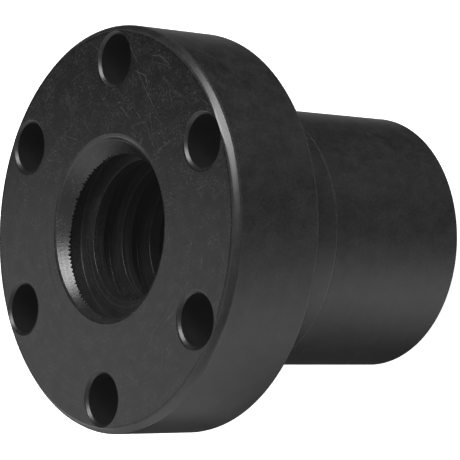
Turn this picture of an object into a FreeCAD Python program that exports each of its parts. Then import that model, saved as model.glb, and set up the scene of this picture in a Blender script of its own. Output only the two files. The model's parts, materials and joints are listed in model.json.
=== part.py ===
import FreeCAD
import Part
import math
import os

# Flanged lead screw nut, turned from one bar of steel.
# The origin is the centre of the flange's seat face. +Z runs along the thread axis,
# out through the flange, and the nut stands on the end of its body.

# Driving dimensions, in millimetres and degrees.

# Flange, whose width beyond the body is set by the bolt holes and the metal beside them
flange_thickness = 17.0
flange_front_chamfer = 1.0
flange_back_break = 0.3

# Body, the round barrel behind the flange
body_diameter = 45.0
body_length = 43.0
body_end_chamfer = 1.0
corner_fillet = 0.4

# The fine turned line that ends the locating length of the body
spigot_length = 14.0
line_width = 0.3
line_depth = 0.1

# Bolt holes, midway between the body and the flange's rim
bolt_hole_diameter = 8.4
bolt_hole_wall = 1.55
bolt_hole_count = 6
bolt_hole_chamfer = 0.5
first_hole_angle = 90.0

# Trapezoidal thread, right-hand, one start
thread_diameter = 30.0
thread_pitch = 6.0
thread_flank_angle = 10.0
thread_groove_width = 3.3

# Height of one groove's middle below the flange's front face, at angle 0
thread_phase = 0.85

# Conical lead-in at both ends of the bore, from outside the thread's root down to its crest
mouth_rim_clearance = 0.5
mouth_cone_angle = 40.0

# Worked out from the sizes above.
body_radius = body_diameter / 2
bolt_circle_radius = body_radius + bolt_hole_wall + bolt_hole_diameter / 2
flange_radius = bolt_circle_radius + bolt_hole_diameter / 2 + bolt_hole_wall
front_z = flange_thickness
end_z = -body_length
total_length = front_z - end_z

pitch_radius = (thread_diameter - thread_pitch / 2) / 2
crest_radius = (thread_diameter - thread_pitch) / 2
root_radius = thread_diameter / 2
flank_slope = math.tan(math.radians(thread_flank_angle))
mouth_radius = root_radius + mouth_rim_clearance
mouth_slope = math.tan(math.radians(mouth_cone_angle))
mouth_depth = (mouth_radius - crest_radius) / mouth_slope

# How far a cutting shape runs past the face that it opens.
overrun = 1.0


def point(radius, height):
    """A point of the half section, in the XZ plane."""
    return FreeCAD.Vector(radius, 0, height)


def blank():
    """The turned outside: flange, body, chamfers, fillet and the fine line."""
    line_top = -spigot_length + line_width / 2
    line_foot = -spigot_length - line_width / 2
    below = [
        point(0, end_z),
        point(body_radius - body_end_chamfer, end_z),
        point(body_radius, end_z + body_end_chamfer),
        point(body_radius, line_foot),
        point(body_radius - line_depth, -spigot_length),
        point(body_radius, line_top),
        point(body_radius, -corner_fillet),
    ]
    above = [
        point(body_radius + corner_fillet, 0),
        point(flange_radius - flange_back_break, 0),
        point(flange_radius, flange_back_break),
        point(flange_radius, front_z - flange_front_chamfer),
        point(flange_radius - flange_front_chamfer, front_z),
        point(0, front_z),
        point(0, end_z),
    ]
    inset = corner_fillet * (1 - math.sqrt(0.5))
    corner = Part.Arc(below[-1], point(body_radius + inset, -inset), above[0])
    edges = [Part.makeLine(a, b) for a, b in zip(below, below[1:])]
    edges.append(corner.toShape())
    edges += [Part.makeLine(a, b) for a, b in zip(above, above[1:])]
    section = Part.Face(Part.Wire(edges))
    return section.revolve(FreeCAD.Vector(0, 0, 0), FreeCAD.Vector(0, 0, 1), 360)


def hole_with_chamfers(radius, chamfer, x, y, low, high):
    """A round cutter through the heights low to high, with a cone at each mouth."""
    up = FreeCAD.Vector(0, 0, 1)
    down = FreeCAD.Vector(0, 0, -1)
    wide = radius + chamfer + overrun
    length = chamfer + overrun
    drill = Part.makeCylinder(radius, high - low + 2 * overrun, FreeCAD.Vector(x, y, low - overrun), up)
    top = Part.makeCone(radius, wide, length, FreeCAD.Vector(x, y, high - chamfer), up)
    foot = Part.makeCone(radius, wide, length, FreeCAD.Vector(x, y, low + chamfer), down)
    return [drill, top, foot]


def bolt_hole_cutters():
    """The bolt holes, evenly spaced on their circle, through the flange."""
    cutters = []
    for index in range(bolt_hole_count):
        angle = math.radians(first_hole_angle + index * 360 / bolt_hole_count)
        x = bolt_circle_radius * math.cos(angle)
        y = bolt_circle_radius * math.sin(angle)
        cutters += hole_with_chamfers(bolt_hole_diameter / 2, bolt_hole_chamfer, x, y, 0, front_z)
    return cutters


def mouth_cutters():
    """The conical lead-in at both ends of the bore, from its rim down to the thread's crest."""
    wide = mouth_radius + overrun * mouth_slope
    length = mouth_depth + overrun
    front = Part.makeCone(crest_radius, wide, length, point(0, front_z - mouth_depth), FreeCAD.Vector(0, 0, 1))
    back = Part.makeCone(crest_radius, wide, length, point(0, end_z + mouth_depth), FreeCAD.Vector(0, 0, -1))
    return [front, back]


def thread_groove():
    """The helical groove: a trapezoid in the axial plane, carried up a right-hand helix."""
    inner_radius = crest_radius - overrun
    inner_half = thread_groove_width / 2 + (pitch_radius - inner_radius) * flank_slope
    root_half = thread_groove_width / 2 - (root_radius - pitch_radius) * flank_slope
    turns_below = math.ceil(total_length / thread_pitch) + 1
    turns_above = 2
    start = front_z - thread_phase - turns_below * thread_pitch
    helix = Part.makeHelix(thread_pitch, (turns_below + turns_above) * thread_pitch, pitch_radius)
    helix.translate(point(0, start))
    corners = [
        point(inner_radius, start - inner_half),
        point(root_radius, start - root_half),
        point(root_radius, start + root_half),
        point(inner_radius, start + inner_half),
    ]
    profile = Part.makePolygon(corners + corners[:1])
    path = Part.Wire(helix.Edges)
    return path.makePipeShell([profile], True, True)


def thread_cutter():
    """The core bore at the thread's crest, joined with the groove around it."""
    core = Part.makeCylinder(crest_radius, total_length + 4 * thread_pitch, point(0, end_z - 2 * thread_pitch))
    return core.fuse(thread_groove())


def quarter_blades():
    """Four flat sheets in the bore, whose outer edges lie along the crest at every quarter turn."""
    low = end_z - overrun
    high = front_z + overrun
    outline = [
        point(crest_radius / 2, low),
        point(crest_radius, low),
        point(crest_radius, high),
        point(crest_radius / 2, high),
    ]
    blades = []
    for angle in (45, 135, 225, 315):
        blade = Part.Face(Part.makePolygon(outline + outline[:1]))
        blade.rotate(FreeCAD.Vector(0, 0, 0), FreeCAD.Vector(0, 0, 1), angle)
        blades.append(blade)
    return blades


def flanged_nut():
    """The whole nut as one solid, its crest land parted into patches of a quarter turn."""
    nut = blank().cut(thread_cutter())
    for cutter in mouth_cutters() + bolt_hole_cutters():
        nut = nut.cut(cutter)
    return nut.Solids[0].generalFuse(quarter_blades())[0].Solids[0]


os.makedirs("parts", exist_ok=True)
nut = flanged_nut()
nut.exportStep("parts/flanged_nut.step")
print("flanged_nut", "valid", nut.isValid(), "faces", len(nut.Faces), "volume mm3", round(nut.Volume, 1))
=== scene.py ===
"""A flanged lead screw nut in blackened steel, dressed for a studio picture.

The turned skin, the flange faces with their bolt holes and the bore with its trapezoidal thread are
surfaces worked out as whole arrays, then welded into one closed mesh that stands for the solid.
"""

import json
import math

import bmesh
import bpy
import numpy as np
from mathutils import Matrix, Vector


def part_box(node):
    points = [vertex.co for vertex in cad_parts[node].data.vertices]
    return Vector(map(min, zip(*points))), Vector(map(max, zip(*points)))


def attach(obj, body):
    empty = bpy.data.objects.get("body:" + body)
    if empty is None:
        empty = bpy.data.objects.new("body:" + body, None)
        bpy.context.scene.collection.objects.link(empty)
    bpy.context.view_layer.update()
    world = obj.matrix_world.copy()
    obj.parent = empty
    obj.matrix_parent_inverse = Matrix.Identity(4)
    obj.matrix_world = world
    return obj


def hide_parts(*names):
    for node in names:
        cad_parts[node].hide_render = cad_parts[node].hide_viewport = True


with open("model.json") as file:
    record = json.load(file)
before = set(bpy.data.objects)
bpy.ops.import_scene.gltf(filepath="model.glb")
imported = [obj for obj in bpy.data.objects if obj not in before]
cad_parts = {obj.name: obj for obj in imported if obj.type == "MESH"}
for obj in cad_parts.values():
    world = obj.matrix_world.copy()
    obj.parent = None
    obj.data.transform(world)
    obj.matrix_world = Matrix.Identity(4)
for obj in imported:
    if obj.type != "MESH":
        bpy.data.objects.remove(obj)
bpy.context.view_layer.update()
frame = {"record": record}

bl_info = {
    "name": "Flanged Lead Screw Nut",
    "version": (1, 0, 0),
    "blender": (4, 5, 0),
    "location": "View3D > Sidebar > Lead Screw Nut",
    "description": "Builds a blackened steel lead screw nut and a plain studio stage",
    "category": "Add Mesh",
}

MM = 0.001
NODE = "flanged_nut"
MOUNTS = {mount["name"]: mount for mount in frame["record"]["mounts"]}


def mount_size(name, key):
    """A mount's dimension from the record, in metres."""
    return MOUNTS[name]["dims"][key] * MM


LIP = 0.02 * MM
NODE_LOW, NODE_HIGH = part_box(NODE)
FRONT = NODE_HIGH[2]
END = NODE_LOW[2]
FLANGE_RADIUS = NODE_HIGH[0]
BARREL_RADIUS = mount_size("locating_barrel", "r_mm")
CREST_RADIUS = mount_size("lead_screw_thread", "r_mm")
CREST_LENGTH = mount_size("lead_screw_thread", "length_mm")
HOLE_RADIUS = mount_size("flange_bolts", "hole_r_mm")
HOLE_CIRCLE = mount_size("flange_bolts", "pcd_mm") / 2
HOLE_COUNT = MOUNTS["flange_bolts"]["dims"]["count"]


def length(name, description, default):
    """A property that holds a length in metres."""
    kind = {"min": 0.0, "precision": 5, "unit": "LENGTH", "subtype": "DISTANCE"}
    return bpy.props.FloatProperty(name=name, description=description, default=default, **kind)


def angle(name, description, degrees):
    """A property that holds an angle, given in degrees."""
    turn = math.radians(degrees)
    return bpy.props.FloatProperty(name=name, description=description, default=turn, subtype="ANGLE")


def amount(name, description, default, unit="NONE"):
    """A property that holds a number from 0 up."""
    return bpy.props.FloatProperty(name=name, description=description, default=default, min=0.0, unit=unit)


def triple(name, description, default, subtype="COLOR"):
    """A property that holds a colour, or three numbers of another kind."""
    kind = {"subtype": subtype, "size": 3}
    return bpy.props.FloatVectorProperty(name=name, description=description, default=default, **kind)


def whole(name, description, default, least):
    """A property that holds a whole number."""
    return bpy.props.IntProperty(name=name, description=description, default=default, min=least)


class NutSizes(bpy.types.PropertyGroup):
    """Sizes of the nut that its mounts don't give."""

    front_chamfer: length("Front chamfer", "Chamfer round the flange's outer face", 1.0 * MM)
    back_break: length("Back edge break", "Small break at the flange's back edge", 0.3 * MM)
    end_chamfer: length("Barrel end chamfer", "Chamfer round the barrel's end", 1.0 * MM)
    corner_fillet: length("Corner fillet", "Fillet between the barrel and the seat face", 0.4 * MM)
    line_place: length("Line place", "Distance from the seat face to the fine turned line", 14.0 * MM)
    line_width: length("Line width", "Width of the fine turned line", 0.3 * MM)
    line_depth: length("Line depth", "Depth of the fine turned line", 0.1 * MM)
    hole_chamfer: length("Hole chamfer", "Chamfer at each end of the bolt holes", 0.5 * MM)
    edge: length("Edge rounding", "How far each sharp edge is cut back", 0.08 * MM)
    rim_edge: length("Rim edge rounding", "How far the front chamfer's two edges are cut back", 0.25 * MM)
    mouth_edge: length("Mouth edge rounding", "How far the front mouth's edge is cut back", 0.15 * MM)
    mouth_wear: length("Mouth wear", "Further cut of that edge where it is rubbed most", 0.22 * MM)
    wear_angle: angle("Wear angle", "Angle about Z of the mouth's most rubbed spot", 62)
    crest_edge: length("Crest edge rounding", "How far the thread's crest edges are cut back", 0.09 * MM)
    tear_edge: length("Torn edge rounding", "How far the torn teeth's edges are cut back", 0.03 * MM)
    pitch: length("Thread pitch", "Rise of the thread in one turn", 6.0 * MM)
    root_radius: length("Thread root radius", "Radius of the bottom of the thread's groove", 15.0 * MM)
    groove_width: length("Groove width", "Width of the thread's groove, halfway down", 3.3 * MM)
    phase: length("Thread phase", "Depth of a groove's middle below the front face, at angle 0", 0.85 * MM)
    flank_angle: angle("Flank angle", "Slope of the thread's flanks", 10)
    mouth_radius: length("Mouth radius", "Radius of the bore's mouth in the end faces", 15.5 * MM)
    mouth_angle: angle("Mouth angle", "Slope of the mouth's cone from the axis", 40)
    tooth_height: length("Burr height", "Reach of the torn teeth round the front mouth", 0.38 * MM)
    teeth: whole("Burr teeth", "Torn teeth in one turn of the thread", 115, 1)
    columns: whole("Columns", "Mesh columns round the axis, a multiple of six", 360, 24)
    fine: whole("Fine columns", "Columns in the front mouth for each one elsewhere", 5, 1)


class NutFinish(bpy.types.PropertyGroup):
    """Colours and gloss of the blackened steel."""

    oxide: triple("Oxide", "Colour of the black oxide", (0.005, 0.005, 0.0052))
    bare: triple("Rubbed steel", "Colour where the oxide is rubbed", (0.16, 0.16, 0.16))
    gloss: bpy.props.FloatProperty(
        name="Roughness", description="Roughness of the plain oxide", default=0.36, min=0.0, max=1.0
    )


class NutStage(bpy.types.PropertyGroup):
    """Floor, lights and camera."""

    floor: triple("Floor", "Colour of the floor", (0.9, 0.9, 0.9))
    floor_glow: amount("Floor glow", "Light that the floor sends to the camera by itself", 0.95)
    dim_light: amount("Dim light", "Light from every direction of the studio", 0.035)
    softbox: amount("Softbox", "Power of the overhead softbox", 8.5, "POWER")
    side_card: amount("Side card", "Power of the low card beside the flange", 0.0118, "POWER")
    target: triple("Target", "Point the camera looks at", (0.00002, 0.00084, -0.00904), "TRANSLATION")
    distance: length("Distance", "Distance from the camera to its target", 376.2 * MM)
    azimuth: angle("Azimuth", "Camera's angle about Z from +X", -1.234)
    elevation: angle("Elevation", "Camera's angle above the flange", 38.83)
    roll: angle("Roll", "Camera's turn about its own axis", -87.11)
    lens: bpy.props.FloatProperty(
        name="Lens", description="Focal length", default=169.7, min=1.0, unit="CAMERA"
    )


def cut_back(points, cut):
    """Cuts the corners of a half section: each inner point becomes two, moved along its two sides by
    the cut, or by 0.45 of a side that is shorter than that allows. The array's first axis is the
    point along the section; any further axes are columns, and the last holds radius and height.
    Corners that coincide are cut as one, unless they end the section."""
    tiny = 1e-7
    sides = np.diff(points, axis=0)
    lengths = np.linalg.norm(sides, axis=-1, keepdims=True)
    units = sides / np.maximum(lengths, 1e-12)
    step = np.minimum(cut, 0.45 * lengths)
    before = points[1:-1] - units[:-1] * step[:-1]
    after = points[1:-1] + units[1:] * step[1:]
    empty = lengths < tiny
    ahead = np.cumsum(lengths[::-1], axis=0)[::-1] > tiny
    for row in range(len(before)):
        after[row] = np.where(empty[row + 1] & ahead[row + 1], before[row], after[row])
        before[row + 1 : row + 2] = np.where(empty[row + 1], after[row], before[row + 1 : row + 2])
    pairs = np.stack([before, after], axis=1).reshape((-1,) + points.shape[1:])
    return np.concatenate([points[:1], pairs, points[-1:]])


class Skin:
    """Vertices, faces and face marks of patches that are later welded into one mesh."""

    def __init__(self):
        self.places, self.marks, self.faces, self.edges, self.looks = [], [], [], [], []
        self.count = 0

    def add_vertices(self, places, marks):
        """Adds places in metres with their two pattern coordinates, and returns their indices."""
        start = self.count
        self.places.append(places.reshape(-1, 3))
        self.marks.append(marks.reshape(-1, 2))
        self.count += self.places[-1].shape[0]
        return np.arange(start, self.count).reshape(places.shape[:-1])

    def add_faces(self, faces, edge, look):
        """Adds faces of one corner count. Edge is 1 on a rounded edge, and look is the material:
        both are one value, or one for each face."""
        faces = faces.reshape(-1, faces.shape[-1])
        self.faces += faces.tolist()
        self.edges.append(np.broadcast_to(edge, faces.shape[0]).astype(np.float32))
        self.looks.append(np.broadcast_to(look, faces.shape[0]).astype(np.int32))

    def add_grid(self, index, look, edge=None, flip=False):
        """Quads between neighbouring rows and columns of an index grid."""
        quads = np.stack([index[:-1, :-1], index[1:, :-1], index[1:, 1:], index[:-1, 1:]], axis=-1)
        if flip:
            quads = quads[..., ::-1]
        rows = np.zeros(quads.shape[0]) if edge is None else np.asarray(edge, float)
        self.add_faces(quads, np.repeat(rows, quads.shape[1]), np.ravel(look))

    def add_fan(self, fine, coarse, look, edge=0.0, flip=False):
        """Triangles between a row of many columns and a row of few: the first half of the fine
        steps over a coarse step goes to its first end, and the rest to its second end."""
        ratio = (fine.size - 1) // (coarse.size - 1)
        half = (ratio + 1) // 2
        steps = fine[:-1].reshape(-1, ratio)
        ends = fine[1:].reshape(-1, ratio)
        near = np.repeat(coarse[:-1, None], ratio, axis=1)
        far = np.repeat(coarse[1:, None], ratio, axis=1)
        apex = np.where(np.arange(ratio) < half, near, far)
        slim = np.stack([steps, apex, ends], axis=-1)
        wide = np.stack([steps[:, half], coarse[:-1], coarse[1:]], axis=-1)
        for faces in (slim, wide):
            self.add_faces(faces[..., ::-1] if flip else faces, edge, look)

    def mesh(self, name, weld):
        """Welds the patches, gives each point a normal weighted by face area, and returns the mesh."""
        mesh = bpy.data.meshes.new(name)
        places = np.concatenate(self.places)
        marks = np.concatenate(self.marks)
        mesh.from_pydata(places.tolist(), [], self.faces)
        corners = np.empty(len(mesh.loops), dtype=np.int32)
        mesh.loops.foreach_get("vertex_index", corners)
        layer = mesh.uv_layers.new(name="turning")
        layer.data.foreach_set("uv", marks[corners].astype(np.float32).ravel())
        edge = mesh.attributes.new("edge", "FLOAT", "FACE")
        edge.data.foreach_set("value", np.concatenate(self.edges))
        mesh.polygons.foreach_set("material_index", np.concatenate(self.looks))
        work = bmesh.new()
        work.from_mesh(mesh)
        bmesh.ops.remove_doubles(work, verts=work.verts, dist=weld)
        bmesh.ops.dissolve_degenerate(work, edges=work.edges, dist=weld)
        work.to_mesh(mesh)
        work.free()
        mesh.update()
        set_area_normals(mesh)
        return mesh


def set_area_normals(mesh):
    """Each point's normal is the sum of its faces' normals times their areas, made one long."""
    faces = len(mesh.polygons)
    normals = np.empty(faces * 3)
    areas = np.empty(faces)
    sizes = np.empty(faces, dtype=np.int32)
    corners = np.empty(len(mesh.loops), dtype=np.int32)
    mesh.polygons.foreach_get("normal", normals)
    mesh.polygons.foreach_get("area", areas)
    mesh.polygons.foreach_get("loop_total", sizes)
    mesh.loops.foreach_get("vertex_index", corners)
    weighted = np.repeat(normals.reshape(-1, 3) * areas[:, None], sizes, axis=0)
    total = np.zeros((len(mesh.vertices), 3))
    np.add.at(total, corners, weighted)
    total /= np.maximum(np.linalg.norm(total, axis=1, keepdims=True), 1e-20)
    mesh.polygons.foreach_set("use_smooth", np.ones(faces, dtype=bool))
    mesh.normals_split_custom_set_from_vertices(total)


def ring(section, angles):
    """A half section of radius and height carried round the axis, at every angle."""
    radius, height = section[..., 0], section[..., 1]
    if section.ndim == 2:
        radius, height = radius[:, None], height[:, None]
    x = radius * np.cos(angles)
    y = radius * np.sin(angles)
    return np.stack([x, y, np.broadcast_to(height, x.shape)], axis=-1)


def along(places):
    """Distance travelled down a grid's first axis, from its first row, as the first column has it."""
    steps = np.linalg.norm(np.diff(places[:, 0], axis=0), axis=-1)
    return np.concatenate([[0.0], np.cumsum(steps)])


def add_turned(skin, section, angles, look, edge_rows):
    """A surface of revolution: the section's rows by the angles' columns."""
    places = ring(section, angles)
    travel = np.broadcast_to(along(places)[:, None], places.shape[:-1])
    turn = np.broadcast_to(angles / (2 * np.pi), places.shape[:-1])
    index = skin.add_vertices(places, np.stack([turn, travel / MM], axis=-1))
    skin.add_grid(index, look, edge_rows)


def paired_rows(count):
    """Marks every other strip of a section that was cut back, where the corners are."""
    return np.arange(count) % 2


# The order of the nut's materials
LOOK_SIDE, LOOK_FACE, LOOK_THREAD, LOOK_HOLE, LOOK_MOUTH = range(5)

# Corners in one turn of the thread's half section, where the turn is at a mouth
MOUTH_CORNERS = 8


def face_rim(sizes, angles):
    """The front face's outer radius at each angle, short of the chamfer by t + w * min(1, (d / b)^2):
    the lip t, the width w for the rounding, and the way d to the nearest bolt hole's middle over b."""
    near = math.radians(8)
    step = 2 * np.pi / HOLE_COUNT
    away = np.abs(np.mod(angles - np.pi / 2 + step / 2, step) - step / 2)
    share = np.minimum(1, (away / near) ** 2)
    return FLANGE_RADIUS - sizes.front_chamfer - LIP - 2 * sizes.rim_edge * share


def seat_rim(sizes, angles):
    """The seat face's outer radius at each angle."""
    return FLANGE_RADIUS - sizes.back_break - 2 * sizes.edge + 0 * angles


def seat_foot(sizes, angles):
    """The seat face's inner radius at each angle."""
    return BARREL_RADIUS + sizes.corner_fillet + 2 * sizes.edge + 0 * angles


def add_outside(skin, sizes, angles):
    """The flange's rim, from the front face's outer ring to the seat face's outer ring. Its first
    strip is the last of the flat face, and looks like it."""
    chamfer, back = sizes.front_chamfer, sizes.back_break
    corners = np.array(
        [
            [FLANGE_RADIUS - chamfer, FRONT],
            [FLANGE_RADIUS, FRONT - chamfer],
            [FLANGE_RADIUS, back],
            [FLANGE_RADIUS - back, 0.0],
            [seat_rim(sizes, 0), 0.0],
        ]
    )
    radius = face_rim(sizes, angles)
    first = np.stack([radius, np.full(radius.shape, FRONT)], axis=-1)
    corners = np.concatenate([first[None], np.repeat(corners[:, None], len(angles), axis=1)])
    amounts = np.array([sizes.rim_edge] * 3 + [sizes.edge] * 2)[:, None, None]
    section = cut_back(corners, amounts)
    looks = np.full((len(section) - 1, len(angles) - 1), LOOK_SIDE)
    looks[0] = LOOK_FACE
    add_turned(skin, section, angles, looks, paired_rows(len(section) - 1))


def add_barrel(skin, sizes, angles):
    """The barrel, from the seat face's inner ring over the fillet, the fine line and the end chamfer
    to the mouth of the bore in the end face. The fillet is an arc about a point outside the corner."""
    turn = np.linspace(np.pi / 2, np.pi, 6)
    fillet = sizes.corner_fillet
    arc = np.stack(
        [BARREL_RADIUS + fillet + fillet * np.cos(turn), -fillet + fillet * np.sin(turn)], axis=-1
    )
    line, half = -sizes.line_place, sizes.line_width / 2
    chamfer = sizes.end_chamfer
    corners = np.array(
        [
            arc[-1],
            [BARREL_RADIUS, line + half],
            [BARREL_RADIUS - sizes.line_depth, line],
            [BARREL_RADIUS, line - half],
            [BARREL_RADIUS, END + chamfer],
            [BARREL_RADIUS - chamfer, END],
            [sizes.mouth_radius, END],
            [sizes.mouth_radius - sizes.edge * math.tan(sizes.mouth_angle), END + sizes.edge],
        ]
    )
    cut = cut_back(corners, sizes.edge)
    marks = paired_rows(len(cut) - 1)
    flat = np.array([[seat_foot(sizes, 0), 0.0]])
    section = np.concatenate([flat, arc[:-1], cut])
    add_turned(skin, section, angles, LOOK_SIDE, np.concatenate([np.zeros(len(arc)), marks]))


def sector_outline(sizes, inner, outer, middle):
    """The closed outline of one hole's sector of a flange face: the outer arc, the way in along the
    sector's edge, the inner arc back, and the way out. Arcs have one point for each mesh column. The
    inner and outer radius are functions of the sizes and the angle."""
    half = np.pi / HOLE_COUNT
    steps = sizes.columns // HOLE_COUNT
    sides = 12
    sweep = middle + np.linspace(-half, half, steps + 1)
    ways = []
    for side in (sweep[-1], sweep[0]):
        reach = np.linspace(outer(sizes, side), inner(sizes, side), sides + 1)
        ways.append(reach[:, None] * [np.cos(side), np.sin(side)])
    units = np.stack([np.cos(sweep), np.sin(sweep)], axis=-1)
    out = units * outer(sizes, sweep)[:, None]
    back = (units * inner(sizes, sweep)[:, None])[::-1]
    return np.concatenate([out[:-1], ways[0][:-1], back[:-1], ways[1][::-1]])


def add_flange_face(skin, sizes, inner, outer, height, up):
    """A flat flange face with its holes. Each sector is a grid of two parameters: the point on the
    sector's outline, and the share of the way from the hole's rim to it, along the ray from the
    hole's centre. Returns each hole's centre and the bearings of its rays."""
    rim = HOLE_RADIUS + sizes.hole_chamfer + LIP
    shares = np.array([0.0, 0.03, 0.3, 0.65, 0.97, 1.0])
    holes = []
    for number in range(HOLE_COUNT):
        middle = np.pi / 2 + number * 2 * np.pi / HOLE_COUNT
        centre = HOLE_CIRCLE * np.array([np.cos(middle), np.sin(middle)])
        outline = sector_outline(sizes, inner, outer, middle)
        rays = outline - centre
        units = rays / np.linalg.norm(rays, axis=-1, keepdims=True)
        edge = centre + rim * units
        flat = edge + shares[:, None, None] * (outline - edge)
        places = np.concatenate([flat, np.full(flat.shape[:-1] + (1,), height)], axis=-1)
        distance = np.linalg.norm(flat, axis=-1)
        bearing = np.arctan2(flat[..., 1], flat[..., 0]) / (2 * np.pi)
        index = skin.add_vertices(places, np.stack([bearing, distance / MM], axis=-1))
        skin.add_grid(index, LOOK_FACE, flip=not up)
        holes.append((centre, np.unwrap(np.arctan2(rays[:, 1], rays[:, 0]))))
    return holes


def add_hole_wall(skin, sizes, hole, seat_hole):
    """A bolt hole's wall with its two chamfers: a section of radius and height at the bearings of
    the front face's rays, which turn evenly into those of the seat face's rays on the way down. The
    gap between the two is taken the short way round."""
    chamfer, edge = sizes.hole_chamfer, sizes.edge
    wide = HOLE_RADIUS + chamfer
    heights = np.linspace(FRONT - chamfer - edge, chamfer + edge, 7)
    wall = np.stack([np.full(heights.shape, HOLE_RADIUS), heights], axis=-1)
    cone = np.array([[wide + LIP, 0.0], [wide - edge, edge], [HOLE_RADIUS + edge, chamfer - edge]])
    upper = cone * [1, -1] + [0, FRONT]
    section = np.concatenate([upper, wall, cone[::-1]])
    share = np.clip((FRONT - chamfer - section[:, 1:]) / (FRONT - 2 * chamfer), 0, 1)
    centre, bearings = hole
    gap = seat_hole[1] - bearings
    gap -= 2 * np.pi * np.round(gap[0] / (2 * np.pi))
    bearings = bearings + share * gap
    places = ring(section, bearings) + np.append(centre, 0.0)
    turn = np.broadcast_to(np.linspace(0, 1, bearings.shape[1]), bearings.shape)
    travel = np.broadcast_to(along(places)[:, None], bearings.shape)
    index = skin.add_vertices(places, np.stack([turn, travel / MM], axis=-1))
    rows = np.zeros(len(section) - 1)
    rows[[0, -1]] = 1
    looks = np.full((len(section) - 1, bearings.shape[1] - 1), LOOK_HOLE)
    looks[:3] = looks[-3:] = LOOK_SIDE
    skin.add_grid(index, looks, rows, flip=True)


def face_mouth(sizes, angles):
    """The front face's inner radius at each angle."""
    return sizes.mouth_radius + mouth_cut(sizes, angles)


def mouth_height(sizes, radius):
    """How far inside an end face the mouth's cone has a radius."""
    return (sizes.mouth_radius - radius) / math.tan(sizes.mouth_angle)


def mouth_cut(sizes, angles):
    """How far the mouth's edge is cut back at each angle a: e + w * max(0, cos(2.6 * (a - b)))^2 near
    the rubbed spot at angle b, and e elsewhere."""
    away = np.abs(np.mod(angles - sizes.wear_angle + np.pi, 2 * np.pi) - np.pi)
    bump = np.cos(np.minimum(2.6 * away, np.pi / 2)) ** 2
    return sizes.mouth_edge + sizes.mouth_wear * bump


def pitch_radius(sizes):
    """The radius halfway down the thread, where the groove's width is given."""
    return CREST_RADIUS + sizes.pitch / 4


def bore_radius(sizes, height, middle):
    """The bore's wall at a height, where a groove's middle lies at another: the widest of the crest,
    the two mouth cones and the groove, whose flanks lean by the flank angle and stop at the root."""
    slope = math.tan(sizes.flank_angle)
    offset = np.mod(height - middle + sizes.pitch / 2, sizes.pitch) - sizes.pitch / 2
    groove = pitch_radius(sizes) + (sizes.groove_width / 2 - np.abs(offset)) / slope
    inside = np.minimum(FRONT - height, height - END)
    cone = sizes.mouth_radius - inside * math.tan(sizes.mouth_angle)
    return np.maximum(np.maximum(cone, np.minimum(groove, sizes.root_radius)), CREST_RADIUS)


def past_crest(radius):
    """How far a radius is outside the thread's crest, as a share of 0.4 mm, from 0 to 1."""
    return np.clip((radius - CREST_RADIUS) / (0.4 * MM), 0, 1)


def torn_teeth(sizes, angles, radius):
    """How far each torn tooth reaches out along the mouth's cone: a triangle wave round the turn,
    raised to the power 1.4, each tooth of its own height and place, fading where the thread leaves
    the cone."""
    chance = np.random.default_rng(11)
    edges = np.arange(sizes.teeth + 1) + chance.uniform(-0.2, 0.2, sizes.teeth + 1)
    edges[[0, -1]] = 0, sizes.teeth
    tips = edges[:-1] + np.diff(edges) * chance.uniform(0.35, 0.65, sizes.teeth)
    heights = chance.uniform(0.3, 1.0, sizes.teeth)
    knots = np.append(np.stack([edges[:-1], tips], axis=-1).ravel(), sizes.teeth)
    levels = np.append(np.stack([np.zeros(sizes.teeth), heights], axis=-1).ravel(), 0.0)
    wave = np.interp(np.mod(angles / (2 * np.pi), 1.0) * sizes.teeth, knots, levels)
    before_root = np.clip((sizes.root_radius - radius) / (0.3 * MM), 0, 1)
    return sizes.tooth_height * wave**1.4 * past_crest(radius) * before_root


def groove_corners(sizes, angles, number):
    """Heights of one turn of the groove at each angle: its middle, upper crest edge, upper root edge,
    lower root edge and lower crest edge. A crest edge that lies in a mouth's cone moves up or down
    its flank to where they meet. The middle climbs by the pitch in one turn, to the right hand."""
    slope, steep = math.tan(sizes.flank_angle), 1 / math.tan(sizes.mouth_angle)
    middle = FRONT - sizes.phase - sizes.pitch * number + sizes.pitch * angles / (2 * np.pi)
    lean = sizes.groove_width / 2 + pitch_radius(sizes) * slope
    front_base = FRONT - sizes.mouth_radius * steep
    end_base = END + sizes.mouth_radius * steep
    in_front = (middle + lean - front_base) / (steep + slope)
    in_end = (end_base - middle - lean) / (steep - slope)
    upper = np.clip(np.maximum(in_front, in_end), CREST_RADIUS, sizes.root_radius)
    torn = torn_teeth(sizes, angles, in_front)
    top = middle + lean - slope * upper + torn * steep
    in_front = (middle - lean - front_base) / (steep - slope)
    in_end = (end_base - middle + lean) / (steep + slope)
    lower = np.clip(np.maximum(in_front, in_end), CREST_RADIUS, sizes.root_radius)
    foot = middle - lean + slope * lower
    root_half = lean - sizes.root_radius * slope
    return middle, top, middle + root_half, middle - root_half, foot


def thread_rows(sizes, angles, number, at_mouth):
    """The half section of one turn of the thread at every angle, from its upper crest edge towards
    the next turn's, with each radius on the bore's wall. Turns at a mouth have four more corners,
    where the two cones cross the groove's root and the land below it."""
    middle, top, root_top, root_foot, foot = groove_corners(sizes, angles, number)
    heights = [top, root_top, root_foot, foot]
    if at_mouth:
        next_top = groove_corners(sizes, angles, number + 1)[1]
        at_root = mouth_height(sizes, sizes.root_radius)
        at_crest = mouth_height(sizes, CREST_RADIUS)
        roots = [np.clip(height, root_foot, root_top) for height in (FRONT - at_root, END + at_root)]
        lands = [np.clip(height, next_top, foot) for height in (FRONT - at_crest, END + at_crest)]
        heights = [top, root_top, *roots, root_foot, foot, *lands]
    heights = np.clip(np.stack(heights), END + sizes.edge, FRONT - mouth_cut(sizes, angles))
    return np.stack([bore_radius(sizes, heights, middle), heights], axis=-1)


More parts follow.
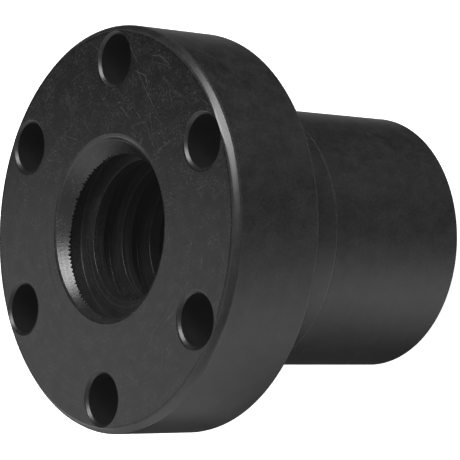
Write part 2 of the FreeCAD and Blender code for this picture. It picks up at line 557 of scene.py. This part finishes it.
def mouth_looks(sizes, section):
    """The material of each face of the bore: the mouth's where most of its corners are on a cone."""
    near = 0.03 * MM
    radius, height = section[..., 0], section[..., 1]
    inside = np.minimum(FRONT - height, height - END)
    on_cone = np.abs(mouth_height(sizes, radius) - inside) < near
    corners = on_cone[:-1, :-1].astype(int) + on_cone[1:, :-1] + on_cone[:-1, 1:] + on_cone[1:, 1:]
    return np.where(corners > 2, LOOK_MOUTH, LOOK_THREAD)


def add_bore(skin, sizes, angles, fine_angles):
    """The threaded bore, one turn of the thread after another. The mouth, down to the first crest
    edge, has the fine columns, so that the torn teeth have their shape."""
    turns = math.ceil((FRONT - END) / sizes.pitch) + 2
    mouth_rows = 2 * (MOUTH_CORNERS + 1)
    rings = []
    for columns, rows in ((fine_angles, slice(0, mouth_rows)), (angles, slice(mouth_rows, None))):
        section = [thread_rows(sizes, columns, n, n < 2 or n > turns - 4) for n in range(turns)]
        section = thread_pairs(sizes, np.concatenate(section))[rows]
        index = add_thread_rows(skin, sizes, section, columns)
        skin.add_grid(index, mouth_looks(sizes, section), 1 - paired_rows(len(index) - 1), flip=True)
        rings.append(index)
    skin.add_fan(rings[0][-1], rings[1][0], LOOK_THREAD, flip=True)
    return rings[0][0]


def thread_pairs(sizes, section):
    """The thread's section with every corner cut back into two rows: the first corners of the first
    two turns less than the others where they lie in the mouth's cone, since they are torn there."""
    padded = np.concatenate([section[:1], section, section[-1:]])
    amounts = np.full((len(padded) - 1, section.shape[1], 1), sizes.crest_edge)
    for row in (0, MOUTH_CORNERS):
        share = past_crest(section[row, :, :1])
        amounts[row : row + 2] = sizes.crest_edge + share * (sizes.tear_edge - sizes.crest_edge)
    return cut_back(padded, amounts)[1:-1]


def add_thread_rows(skin, sizes, section, angles):
    """Rows of the bore, with the distance across the thread and the turn as pattern coordinates."""
    places = ring(section, angles)
    middle = FRONT - sizes.phase + sizes.pitch * angles / (2 * np.pi)
    across = (section[..., 1] - middle) / MM + section[..., 0] / MM
    turn = np.broadcast_to(angles / (2 * np.pi), across.shape)
    return skin.add_vertices(places, np.stack([turn, across], axis=-1))


def add_mouth(skin, sizes, angles, fine_ring):
    """The rounded edge between the front face's inner ring and the fine top ring of the bore."""
    radius = face_mouth(sizes, angles)
    section = np.stack([radius, np.full(radius.shape, FRONT)], axis=-1)
    index = add_thread_rows(skin, sizes, section[None], angles)
    skin.add_fan(fine_ring, index[0], LOOK_MOUTH, edge=1.0)


def nut_mesh(sizes):
    """The whole nut as one closed mesh."""
    skin = Skin()
    angles = np.linspace(0, 2 * np.pi, sizes.columns + 1)
    fine_angles = np.linspace(0, 2 * np.pi, sizes.columns * sizes.fine + 1)
    add_outside(skin, sizes, angles)
    add_barrel(skin, sizes, angles)
    holes = add_flange_face(skin, sizes, face_mouth, face_rim, FRONT, True)
    seat_holes = add_flange_face(skin, sizes, seat_foot, seat_rim, 0.0, False)
    for hole, seat_hole in zip(holes, seat_holes):
        add_hole_wall(skin, sizes, hole, seat_hole)
    fine_ring = add_bore(skin, sizes, angles, fine_angles)
    add_mouth(skin, sizes, angles, fine_ring)
    return skin.mesh(NODE, weld=0.002 * MM)


def put(tree, socket, value):
    """Links a socket to another, or stores a value in it."""
    if isinstance(value, bpy.types.NodeSocket):
        tree.links.new(value, socket)
    else:
        socket.default_value = value


def filled(tree, node, inputs):
    """A node, with inputs set by name."""
    for name, value in inputs.items():
        put(tree, node.inputs[name.replace("_", " ")], value)
    return node


def linked(tree, kind, **inputs):
    """A new node, with inputs set by name."""
    return filled(tree, tree.nodes.new(kind), inputs)


def maths(tree, operation, *values, clamp=False):
    """The result of a Math node on one to three values or sockets."""
    node = tree.nodes.new("ShaderNodeMath")
    node.operation = operation
    node.use_clamp = clamp
    for socket, value in zip(node.inputs, values):
        put(tree, socket, value)
    return node.outputs[0]


def vector_maths(tree, operation, *values, output="Vector"):
    """A result of a Vector Math node: its vector, or its value where the output says so."""
    node = tree.nodes.new("ShaderNodeVectorMath")
    node.operation = operation
    for socket, value in zip(node.inputs, values):
        put(tree, socket, value)
    return node.outputs[output]


def scaled_by(tree, vector, factor):
    """A vector times a number."""
    result = vector_maths(tree, "SCALE", vector)
    put(tree, result.node.inputs["Scale"], factor)
    return result


def fading(tree, distance, reach):
    """1 where a distance is 0, and evenly less up to 0 where it comes to a reach."""
    return maths(tree, "SUBTRACT", 1.0, maths(tree, "DIVIDE", distance, reach), clamp=True)


def blended(tree, share, first, second):
    """A colour between two others."""
    node = tree.nodes.new("ShaderNodeMix")
    node.data_type = "RGBA"
    for index, value in ((0, share), (6, first), (7, second)):
        put(tree, node.inputs[index], value)
    return node.outputs[2]


def stretched(tree, value, low, high, new_low, new_high):
    """A value moved from one range to another and kept inside it."""
    ends = {"From_Min": low, "From_Max": high, "To_Min": new_low, "To_Max": new_high}
    return linked(tree, "ShaderNodeMapRange", Value=value, **ends).outputs[0]


def part(tree, vector, number):
    """One of a vector's three numbers."""
    return linked(tree, "ShaderNodeSeparateXYZ", Vector=vector).outputs[number]


def noise(tree, place, scale, detail, roughness):
    """The value of a Noise Texture at a place."""
    kind = {"Scale": scale, "Detail": detail, "Roughness": roughness}
    return linked(tree, "ShaderNodeTexNoise", Vector=place, **kind).outputs[0]


def new_group(name, inputs, outputs):
    """An empty node group with number outputs. Its inputs are numbers where a default is given for
    them, and vectors where it is None. The group's parts are its tree, its inputs and its outputs."""
    tree = bpy.data.node_groups.new(name, "ShaderNodeTree")
    for label, default in inputs.items():
        kind = "NodeSocketVector" if default is None else "NodeSocketFloat"
        socket = tree.interface.new_socket(label, in_out="INPUT", socket_type=kind)
        if default is not None:
            socket.default_value = default
    for label in outputs:
        tree.interface.new_socket(label, in_out="OUTPUT", socket_type="NodeSocketFloat")
    return tree, tree.nodes.new("NodeGroupInput").outputs, tree.nodes.new("NodeGroupOutput").inputs


def turning_group():
    """Marks left by the tool: noise that changes fast across the cut and slowly round it."""
    inputs = {"Place": None, "Across": 0.0, "Lines": 6.0}
    tree, given, made = new_group("turning marks", inputs, ["Height"])
    slow = 0.045
    joined = linked(
        tree,
        "ShaderNodeCombineXYZ",
        X=maths(tree, "MULTIPLY", part(tree, given["Place"], 0), slow),
        Y=maths(tree, "MULTIPLY", part(tree, given["Place"], 1), slow),
        Z=maths(tree, "MULTIPLY", given["Across"], given["Lines"]),
    )
    put(tree, made["Height"], noise(tree, joined.outputs[0], 1.0, 3.0, 0.65))
    return tree


def speckle_group():
    """The oxide's fine grain, its slow clouds, and a mask of worn areas that fades in over a range
    of heights Y, with an edge that drifts."""
    inputs = {"Place": None, "Worn From": -10.0, "Worn To": 15.0}
    tree, given, made = new_group("oxide speckle", inputs, ["Grain", "Cloud", "Worn"])
    place = given["Place"]
    drift = stretched(tree, noise(tree, place, 0.07, 2.0, 0.5), 0.3, 0.7, -14.0, 14.0)
    past = maths(tree, "SUBTRACT", maths(tree, "ADD", part(tree, place, 1), drift), given["Worn From"])
    span = maths(tree, "SUBTRACT", given["Worn To"], given["Worn From"])
    put(tree, made["Grain"], noise(tree, place, 2.6, 3.0, 0.75))
    put(tree, made["Cloud"], noise(tree, place, 0.35, 4.0, 0.6))
    put(tree, made["Worn"], maths(tree, "DIVIDE", past, span, clamp=True))
    return tree


def scratch_group():
    """Short straight scratches and small specks, one of each to a cell. A cell's colour turns the way
    from its centre, and the scratch is where the turned way is thin across and short along. The
    speck is where the way is short."""
    inputs = {"Place": None, "Cells": 0.3, "Width": 0.03, "Reach": 0.5, "Share": 0.5}
    tree, given, made = new_group("scratches", inputs, ["Scratch", "Speck"])
    scaled = scaled_by(tree, given["Place"], given["Cells"])
    cell = linked(tree, "ShaderNodeTexVoronoi", Vector=scaled, Scale=1.0).outputs
    way = vector_maths(tree, "SUBTRACT", scaled, cell["Position"])
    turn = maths(tree, "MULTIPLY", part(tree, cell["Color"], 0), 2 * math.pi)
    turned = linked(tree, "ShaderNodeVectorRotate", Vector=way, Angle=turn)
    turned.rotation_type = "Z_AXIS"
    across = maths(tree, "ABSOLUTE", part(tree, turned.outputs[0], 1))
    reach = maths(tree, "ABSOLUTE", part(tree, turned.outputs[0], 0))
    thin = fading(tree, across, given["Width"])
    short = maths(tree, "SQRT", fading(tree, reach, given["Reach"]))
    some = maths(tree, "LESS_THAN", part(tree, cell["Color"], 1), given["Share"])
    spot = fading(tree, cell["Distance"], maths(tree, "MULTIPLY", given["Width"], 3.0))
    put(tree, made["Scratch"], maths(tree, "MULTIPLY", maths(tree, "MULTIPLY", thin, short), some))
    put(tree, made["Speck"], maths(tree, "MULTIPLY", spot, some))
    return tree


def stroke_group():
    """One scratch from a point to another: the mask falls off with the distance from the line, and
    noise breaks it up."""
    inputs = {"Place": None, "From": None, "To": None, "Width": 0.1}
    tree, given, made = new_group("stroke", inputs, ["Mask"])
    way = vector_maths(tree, "SUBTRACT", given["Place"], given["From"])
    line = vector_maths(tree, "SUBTRACT", given["To"], given["From"])
    reach = vector_maths(tree, "DOT_PRODUCT", way, line, output="Value")
    square = vector_maths(tree, "DOT_PRODUCT", line, line, output="Value")
    share = maths(tree, "DIVIDE", reach, square, clamp=True)
    gap = vector_maths(tree, "DISTANCE", way, scaled_by(tree, line, share), output="Value")
    patchy = stretched(tree, noise(tree, given["Place"], 0.9, 3.0, 0.8), 0.35, 0.6, 0.1, 1.0)
    put(tree, made["Mask"], maths(tree, "MULTIPLY", fading(tree, gap, given["Width"]), patchy))
    return tree


def grouped(tree, group, **inputs):
    """The outputs of a node that uses one of the groups."""
    node = tree.nodes.new("ShaderNodeGroup")
    node.node_tree = group
    return filled(tree, node, inputs).outputs


# The front face's larger scratches, in millimetres: start and stop on the face, width and strength
FACE_STROKES = (
    ((6.7, 25.9), (12.2, 19.0), 0.12, 0.4),
    ((6.0, 26.0), (8.8, 25.2), 0.12, 0.35),
    ((8.8, 25.2), (9.4, 24.0), 0.2, 0.4),
    ((8.8, 25.2), (10.4, 21.9), 0.28, 0.16),
    ((4.6, 29.9), (6.6, 27.3), 0.2, 0.25),
    ((-7.2, 31.4), (-4.5, 30.0), 0.11, 0.35),
    ((2.5, 20.2), (4.2, 18.8), 0.2, 0.25),
    ((3.7, 18.8), (5.7, 20.2), 0.12, 0.3),
    ((9.6, 17.0), (11.9, 13.5), 0.12, 0.35),
    ((13.0, 12.5), (13.9, 13.3), 0.15, 0.4),
    ((13.9, 13.3), (17.5, 14.7), 0.1, 0.35),
    ((-20.0, 21.8), (-17.4, 24.2), 0.4, 0.16),
    ((-13.2, 15.8), (-9.7, 15.0), 0.11, 0.3),
    ((12.2, 28.3), (13.6, 27.7), 0.2, 0.35),
    ((13.6, 27.7), (15.0, 26.8), 0.2, 0.3),
    ((13.8, 24.5), (16.3, 22.9), 0.45, 0.14),
    ((16.8, 22.2), (18.5, 21.5), 0.45, 0.14),
    ((-13.7, 23.5), (-11.7, 19.6), 0.9, 0.1),
    ((10.6, 28.3), (12.8, 28.1), 0.15, 0.3),
    ((-2.4, 21.0), (0.5, 20.5), 0.5, 0.1),
    ((6.7, 19.3), (7.9, 18.3), 0.12, 0.3),
)


# The front face's layers of small scratches, as rubbed_mask takes them
FACE_SCRATCHES = (
    (2.6, 0.07, 0.3, 0.35, 0.1, 0.34),
    (1.1, 0.05, 0.3, 0.4, 0.12, 0.28),
    (0.45, 0.025, 0.35, 0.4, 0.2, 0.16),
    (0.2, 0.012, 0.5, 0.5, 0.3, 0.0),
)


def rubbed_mask(tree, groups, look, place, edge, worn):
    """Where bare steel shows: on rubbed edges, in the layers of small scratches and specks, fewer of
    them outside the worn area, and in the strokes. Each layer has its cells in a millimetre, width,
    reach, share of the cells, and the strengths of its scratches and of its specks."""
    rubbed = maths(tree, "MULTIPLY", edge, look["edge"])
    for cells, width, reach, share, scratch, speck in look["scratches"]:
        some = stretched(tree, worn, 0.0, 1.0, 0.4 * share, share)
        kind = {"Cells": cells, "Width": width, "Reach": reach, "Share": some}
        masks = grouped(tree, groups["scratches"], Place=place, **kind)
        for mask, strength in zip(masks, (scratch, speck)):
            rubbed = maths(tree, "MAXIMUM", rubbed, maths(tree, "MULTIPLY", mask, strength))
    for start, stop, width, strength in look["strokes"]:
        ends = {"From": (*start, FRONT / MM), "To": (*stop, FRONT / MM)}
        mask = grouped(tree, groups["stroke"], Place=place, Width=width, **ends)[0]
        rubbed = maths(tree, "MAXIMUM", rubbed, maths(tree, "MULTIPLY", mask, strength))
    return rubbed


def dust_mask(tree, look, grain, cloud, worn):
    """Fine dust on the oxide's light clouds, with a little less of it outside the worn area."""
    fine = stretched(tree, grain, 0.54, 0.72, 0.0, 1.0)
    patchy = stretched(tree, cloud, 0.45, 0.6, 0.0, 1.0)
    dust = maths(tree, "MULTIPLY", maths(tree, "MULTIPLY", fine, patchy), look["dust"])
    return maths(tree, "MULTIPLY", dust, stretched(tree, worn, 0.0, 1.0, 0.8, 0.95))


WHITE = (1.0, 1.0, 1.0, 1.0)


def new_material(name):
    """A material with its tree and its shader."""
    material = bpy.data.materials.new(name)
    material.use_nodes = True
    return material, material.node_tree, material.node_tree.nodes["Principled BSDF"]


def steel(name, finish, groups, look):
    """A blackened steel: oxide with grain and clouds, tool marks, dust, and bare steel where it is
    rubbed. Edges are smoother than the rest. Where a look asks for it, the surface also glows faintly
    by itself: painted light that lightens its deep shade."""
    material, tree, shader = new_material(name)
    place = linked(tree, "ShaderNodeTexCoord").outputs["Object"]
    in_mm = linked(tree, "ShaderNodeMapping", Vector=place, Scale=(1 / MM,) * 3).outputs[0]
    pattern = tree.nodes.new("ShaderNodeUVMap")
    pattern.uv_map = "turning"
    across = part(tree, pattern.outputs[0], 1)
    marks = grouped(tree, groups["turning"], Place=in_mm, Across=across, Lines=look["lines"])[0]
    span = {"Worn From": look["worn"][0], "Worn To": look["worn"][1]}
    grain, cloud, worn = grouped(tree, groups["speckle"], Place=in_mm, **span)
    attribute = tree.nodes.new("ShaderNodeAttribute")
    attribute.attribute_name = "edge"
    edge = attribute.outputs["Fac"]
    rubbed = rubbed_mask(tree, groups, look, in_mm, edge, worn)
    rubbed = maths(tree, "MAXIMUM", rubbed, dust_mask(tree, look, grain, cloud, worn))
    streaks = maths(tree, "MULTIPLY", stretched(tree, marks, 0.54, 0.68, 0.0, 1.0), look["streak"])
    rubbed = maths(tree, "MAXIMUM", rubbed, streaks)
    oxide, haze = ((*(look[tone] * value for value in finish.oxide), 1.0) for tone in ("tint", "haze"))
    mixed = maths(tree, "ADD", maths(tree, "MULTIPLY", cloud, 0.6), grain)
    base = blended(tree, stretched(tree, mixed, 0.62, 1.0, 0.0, 1.0), oxide, haze)
    dull = stretched(tree, grain, 0.3, 0.7, look["rough"] - 0.05, look["rough"] + 0.05)
    dull = maths(tree, "ADD", dull, stretched(tree, marks, 0.35, 0.65, -0.04, 0.04))
    polish = stretched(tree, edge, 0.0, 1.0, 1.0, 0.6)
    height = maths(tree, "MULTIPLY", marks, look["line_depth"])
    height = maths(tree, "ADD", height, maths(tree, "MULTIPLY", grain, look["grain_depth"]))
    bump = linked(tree, "ShaderNodeBump", Strength=1.0, Distance=MM, Height=height)
    settings = {
        "Base Color": blended(tree, rubbed, base, (*finish.bare, 1.0)),
        "Roughness": maths(tree, "MULTIPLY", dull, polish),
        "Metallic": maths(tree, "MULTIPLY", rubbed, 0.8),
        "Normal": bump.outputs[0],
        "Specular IOR Level": look["shine"],
        "Emission Color": WHITE,
        # Painted glow: light the surface sends out by itself, which lightens its deep shade
        "Emission Strength": look["painted_glow"],
    }
    filled(tree, shader, settings)
    return material


def nut_materials(finish):
    """The finishes: turned sides, flat faces, the thread, the drilled holes and the bore's mouth. The
    plain one is that of the turned sides, and each other says where it differs from it."""
    groups = dict(turning=turning_group(), speckle=speckle_group())
    groups |= dict(scratches=scratch_group(), stroke=stroke_group())
    gloss = finish.gloss
    plain = dict(lines=5.0, line_depth=0.0012, grain_depth=0.01, edge=0.08, tint=1.0, haze=3.2)
    plain |= dict(rough=gloss, shine=0.5, painted_glow=0.0, dust=0.05, streak=0.0, worn=(-40.0, 60.0))
    plain |= dict(scratches=[(1.5, 0.05, 0.3, 0.2, 0.06, 0.1)], strokes=())
    face = dict(lines=4.0, line_depth=0.0004, grain_depth=0.009, edge=0.1, tint=0.5, haze=2.0)
    face |= dict(rough=gloss - 0.19, dust=0.4, worn=(-12.0, 16.0))
    face |= dict(scratches=FACE_SCRATCHES, strokes=FACE_STROKES)
    # The thread and the drilled holes glow faintly: painted light that lightens the deep shade inside them
    thread = dict(lines=3.0, line_depth=0.022, grain_depth=0.012, edge=0.05, haze=2.2)
    thread |= dict(rough=gloss + 0.02, shine=0.25, painted_glow=0.0048, dust=0.12, streak=0.08)
    hole = dict(lines=2.0, line_depth=0.004, edge=0.0, haze=1.5)
    hole |= dict(rough=gloss + 0.14, shine=0.08, painted_glow=0.005, dust=0.0)
    mouth = dict(lines=6.0, line_depth=0.003, grain_depth=0.03, edge=0.06, tint=1.2, haze=2.5)
    mouth |= dict(rough=gloss - 0.03, shine=0.65, dust=0.6)
    names = ("turned side", "flat face", "thread", "drilled hole", "mouth chamfer")
    looks = ({}, face, thread, hole, mouth)
    return [steel("blackened " + name, finish, groups, plain | look) for name, look in zip(names, looks)]


def placed(name, data):
    """A new object of the scene, with its data."""
    thing = bpy.data.objects.new(name, data)
    bpy.context.scene.collection.objects.link(thing)
    return thing


class NUT_OT_make_nut(bpy.types.Operator):
    """Builds the flanged nut's mesh and finishes, in place of its plain solid"""

    bl_idname = "lead_screw_nut.make_nut"
    bl_label = "Make Flanged Nut"

    def execute(self, context):
        scene = context.scene
        mesh = nut_mesh(scene.nut_sizes)
        for material in nut_materials(scene.nut_finish):
            mesh.materials.append(material)
        nut = placed("turned_nut", mesh)
        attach(nut, "root")
        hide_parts(NODE)
        return {"FINISHED"}


def soft_light(name, place, aim, width, height, power):
    """A rectangular soft light at a place, turned to a point, with its sizes in metres."""
    data = bpy.data.lights.new(name, "AREA")
    data.shape = "RECTANGLE"
    data.size = width
    data.size_y = height
    data.energy = power
    light = placed(name, data)
    light.location = place
    light.rotation_mode = "QUATERNION"
    light.rotation_quaternion = (Vector(aim) - Vector(place)).to_track_quat("-Z", "Y")


def make_floor(stage):
    """A pale square floor at the height of the barrel's end, as a grid of two parameters. It glows a
    little to the camera, which keeps it plain, and reflections pass through it to the studio."""
    half = 4.0
    steps = np.linspace(-half, half, 9)
    x, y = np.meshgrid(steps, steps, indexing="ij")
    skin = Skin()
    index = skin.add_vertices(np.stack([x, y, np.full(x.shape, END)], axis=-1), np.stack([x, y], axis=-1))
    skin.add_grid(index, 0)
    mesh = skin.mesh("floor", weld=MM)
    material, tree, shader = new_material("pale floor")
    ray = linked(tree, "ShaderNodeLightPath").outputs
    settings = {
        "Base Color": (*stage.floor, 1.0),
        "Roughness": 0.8,
        "Specular IOR Level": 0.0,
        "Emission Color": WHITE,
        "Emission Strength": maths(tree, "MULTIPLY", ray["Is Camera Ray"], stage.floor_glow),
    }
    filled(tree, shader, settings)
    clear = linked(tree, "ShaderNodeBsdfTransparent").outputs[0]
    mixed = linked(tree, "ShaderNodeMixShader")
    for socket, value in zip(mixed.inputs, (ray["Is Glossy Ray"], shader.outputs[0], clear)):
        put(tree, socket, value)
    put(tree, tree.nodes["Material Output"].inputs["Surface"], mixed.outputs[0])
    mesh.materials.append(material)
    floor = placed("floor", mesh)


def make_camera(stage):
    """A camera on a sphere about its target, rolled about its own axis."""
    flat = math.cos(stage.elevation)
    x, y = flat * math.cos(stage.azimuth), flat * math.sin(stage.azimuth)
    back = Vector((x, y, math.sin(stage.elevation)))
    level = Vector((0, 0, 1)).cross(back).normalized()
    upright = back.cross(level)
    right = level * math.cos(stage.roll) + upright * math.sin(stage.roll)
    up = back.cross(right)
    turn = Matrix((right, up, back)).transposed()
    camera = placed("camera", bpy.data.cameras.new("camera"))
    camera.data.lens = stage.lens
    camera.data.sensor_width = 36.0
    camera.data.clip_start = 0.01
    camera.data.clip_end = 50.0
    camera.matrix_world = turn.to_4x4()
    camera.location = Vector(stage.target) + back * stage.distance
    bpy.context.scene.camera = camera


# The studio's soft bright patches: direction, sharpness, gain and strength
STUDIO = (
    ((0.5, -0.52, -0.69), 9.0, 1.0, 1.35),
    ((0.5, 0.62, -0.6), 9.0, 1.0, 0.26),
    ((-0.76, 0.22, -0.61), 24.0, 1.0, 0.42),
    ((-0.15, -0.88, 0.45), 7.0, 1.0, 1.1),
    ((0.6, -0.1, 0.79), 6.0, 1.0, 0.5),
    ((-0.86, -0.5, 0.1), 16.0, 1.0, 0.9),
    ((-0.36, -0.4, 0.84), 12.0, 1.0, 0.4),
    ((-0.82, -0.09, 0.57), 9.0, 1.0, 0.06),
    ((-0.81, -0.115, 0.577), 300.0, 20.0, 0.68),
    ((-0.66, -0.2, 0.72), 150.0, 1.0, 0.5),
)


def make_world(stage):
    """A plain dim studio with soft bright patches. A patch in direction c adds
    a * min(1, g * exp(k * (d.c - 1))) to the light from direction d, with its strength a, its
    sharpness k and the gain g that flattens its top."""
    world = bpy.data.worlds.new("studio")
    world.use_nodes = True
    tree = world.node_tree
    way = vector_maths(tree, "NORMALIZE", linked(tree, "ShaderNodeTexCoord").outputs["Generated"])
    total = stage.dim_light
    for direction, sharpness, gain, strength in STUDIO:
        middle = Vector(direction).normalized()
        towards = vector_maths(tree, "DOT_PRODUCT", way, middle, output="Value")
        short = maths(tree, "SUBTRACT", towards, 1.0)
        patch = maths(tree, "EXPONENT", maths(tree, "MULTIPLY", short, sharpness))
        patch = maths(tree, "MULTIPLY", patch, gain, clamp=True)
        total = maths(tree, "ADD", maths(tree, "MULTIPLY", patch, strength), total)
    filled(tree, tree.nodes["Background"], {"Color": WHITE, "Strength": total})
    bpy.context.scene.world = world


class NUT_OT_make_stage(bpy.types.Operator):
    """Builds the pale floor, the soft lights and the camera"""

    bl_idname = "lead_screw_nut.make_stage"
    bl_label = "Make Stage"

    def execute(self, context):
        stage = context.scene.nut_stage
        make_floor(stage)
        make_world(stage)
        above, middle = (0.285, 0.52, 0.45), (0, 0, 0)
        beside, rim = (0.033, -0.07, 0.006), (0.033, 0, 0.006)
        soft_light("overhead softbox", above, middle, width=0.5, height=0.5, power=stage.softbox)
        soft_light("low side card", beside, rim, width=0.094, height=0.078, power=stage.side_card)
        make_camera(stage)
        context.scene.view_settings.view_transform = "Standard"
        return {"FINISHED"}


class NUT_PT_panel(bpy.types.Panel):
    """Sizes, finish and stage of the nut, with the buttons that build them"""

    bl_idname = "NUT_PT_panel"
    bl_label = "Lead Screw Nut"
    bl_space_type = "VIEW_3D"
    bl_region_type = "UI"
    bl_category = "Lead Screw Nut"

    def draw(self, context):
        scene = context.scene
        groups = (
            (scene.nut_sizes, NutSizes, None),
            (scene.nut_finish, NutFinish, NUT_OT_make_nut),
            (scene.nut_stage, NutStage, NUT_OT_make_stage),
        )
        for values, kind, operator in groups:
            box = self.layout.box()
            for name in kind.__annotations__:
                box.prop(values, name)
            if operator:
                box.operator(operator.bl_idname)


CLASSES = (NutSizes, NutFinish, NutStage, NUT_OT_make_nut, NUT_OT_make_stage, NUT_PT_panel)


def register():
    """Registers the classes and gives the scene its settings."""
    for kind in CLASSES:
        bpy.utils.register_class(kind)
    bpy.types.Scene.nut_sizes = bpy.props.PointerProperty(type=NutSizes)
    bpy.types.Scene.nut_finish = bpy.props.PointerProperty(type=NutFinish)
    bpy.types.Scene.nut_stage = bpy.props.PointerProperty(type=NutStage)


def unregister():
    """Takes back what register did."""
    del bpy.types.Scene.nut_stage
    del bpy.types.Scene.nut_finish
    del bpy.types.Scene.nut_sizes
    for kind in reversed(CLASSES):
        bpy.utils.unregister_class(kind)


def main():
    register()
    bpy.ops.lead_screw_nut.make_nut()
    bpy.ops.lead_screw_nut.make_stage()


if __name__ == "__main__":
    main()
